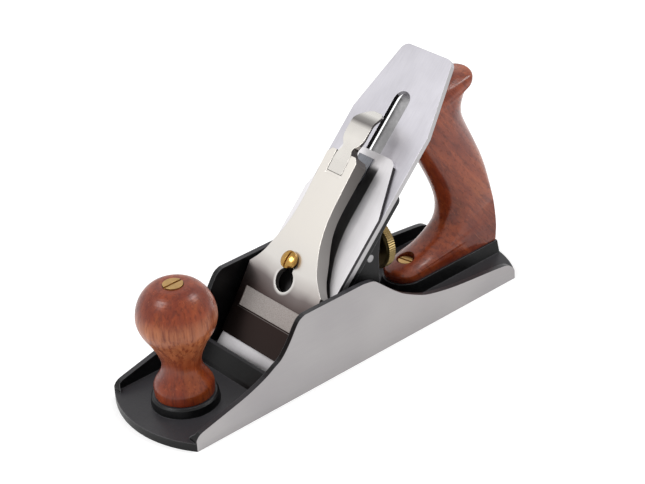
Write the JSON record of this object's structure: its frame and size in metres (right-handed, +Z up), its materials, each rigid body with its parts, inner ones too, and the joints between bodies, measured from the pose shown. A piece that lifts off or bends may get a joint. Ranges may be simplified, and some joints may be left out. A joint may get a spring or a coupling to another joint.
{
  "type": "smoothing plane",
  "caption": "Bench smoothing plane: cast sole with side walls, sliding frog, iron and chip breaker at 45 degrees, cam lever cap, depth wheel, wooden knob and handle",
  "frame": {"origin": "middle of the sole, on its ground face", "axes": "+X toward the heel, +Y across the sole, +Z up"},
  "size_m": [0.26, 0.073, 0.1447],
  "materials": {
    "casting_enamel": "black semi-gloss enamel over cast iron, ground bare on sole and sides",
    "frog_enamel": "black semi-gloss enamel over cast iron",
    "steel": "bright turned steel",
    "blade_steel": "fine ground tool steel",
    "nickel": "satin nickel plate",
    "brass": "satin turned brass",
    "dark_iron": "dark cast iron",
    "spring_steel": "blued spring steel",
    "hardwood": "red-brown open-grained hardwood, satin varnish"
  },
  "bodies": {
    "body": {"sole_casting": "casting_enamel", "frog_locking_screws": "steel", "knob": "hardwood", "knob_bolt": "steel", "knob_nut": "brass", "tote": "hardwood", "tote_bolt": "steel", "tote_nut": "brass", "tote_toe_screw": "brass"},
    "frog_group": {"frog": "frog_enamel", "frog_pins": "steel", "frog_clip": "steel", "frog_clip_screw": "steel", "depth_stud": "steel", "yoke_pin": "steel", "lateral_rivet": "steel", "lever_cap_screw": "brass"},
    "adjust_screw": {"frog_adjust_screw": "steel"},
    "wheel": {"depth_wheel": "brass"},
    "yoke": {"yoke": "dark_iron"},
    "lateral": {"lateral_lever": "steel", "lateral_roller": "steel"},
    "cap_group": {"lever_cap": "nickel", "cam_pin": "steel", "cam_spring": "spring_steel", "cam_spring_rivet": "steel"},
    "cam": {"cam_lever": "nickel"},
    "iron_set": {"iron": "blade_steel", "chip_breaker": "blade_steel", "chip_breaker_screw": "steel"}
  },
  "joints": [
    {"name": "frog_slide", "type": "slide", "parent": "body", "child": "frog_group", "axis": [0.9659, 0, 0.2588], "range_m": [-0.0015, 0.0015]},
    {"name": "frog_screw_turn", "type": "hinge", "parent": "frog_group", "child": "adjust_screw", "pos_m": [0.02439, 0, 0.01636], "axis": [0.9659, 0, 0.2588], "range_deg": [-541, 541]},
    {"name": "depth_wheel_turn", "type": "hinge", "parent": "frog_group", "child": "wheel", "pos_m": [0.0389, 0, 0.0434], "axis": [1, 0, 0], "range_deg": [-360, 360]},
    {"name": "yoke_swing", "type": "hinge", "parent": "frog_group", "child": "yoke", "pos_m": [0.018, 0, 0.0521], "axis": [0, 1, 0], "range_deg": [-6.62, 6.62]},
    {"name": "iron_depth", "type": "slide", "parent": "cap_group", "child": "iron_set", "axis": [0.7071, 0, 0.7071], "range_m": [-0.00183, 0.00183]},
    {"name": "lateral_lever_swing", "type": "hinge", "parent": "frog_group", "child": "lateral", "pos_m": [0.02855, 0, 0.0792], "axis": [-0.7071, 0, 0.7071], "range_deg": [-3.4, 3.4]},
    {"name": "iron_tilt", "type": "hinge", "parent": "frog_group", "child": "cap_group", "pos_m": [-0.0061, 0, 0.04455], "axis": [-0.7071, 0, 0.7071], "range_deg": [-1.2, 1.2]},
    {"name": "cam_lever_flip", "type": "hinge", "parent": "cap_group", "child": "cam", "pos_m": [0.02466, 0, 0.09935], "axis": [0, -1, 0], "range_deg": [0, 100]}
  ],
  "couplings": [
    {"joint": "frog_screw_turn", "follows": "frog_slide", "rad_per_m": 6283.2},
    {"joint": "yoke_swing", "follows": "iron_depth", "rad_per_m": 62.49},
    {"joint": "depth_wheel_turn", "follows": "iron_depth", "rad_per_m": -3415.9},
    {"joint": "lateral_lever_swing", "follows": "iron_tilt", "ratio": -2.7692}
  ]
}
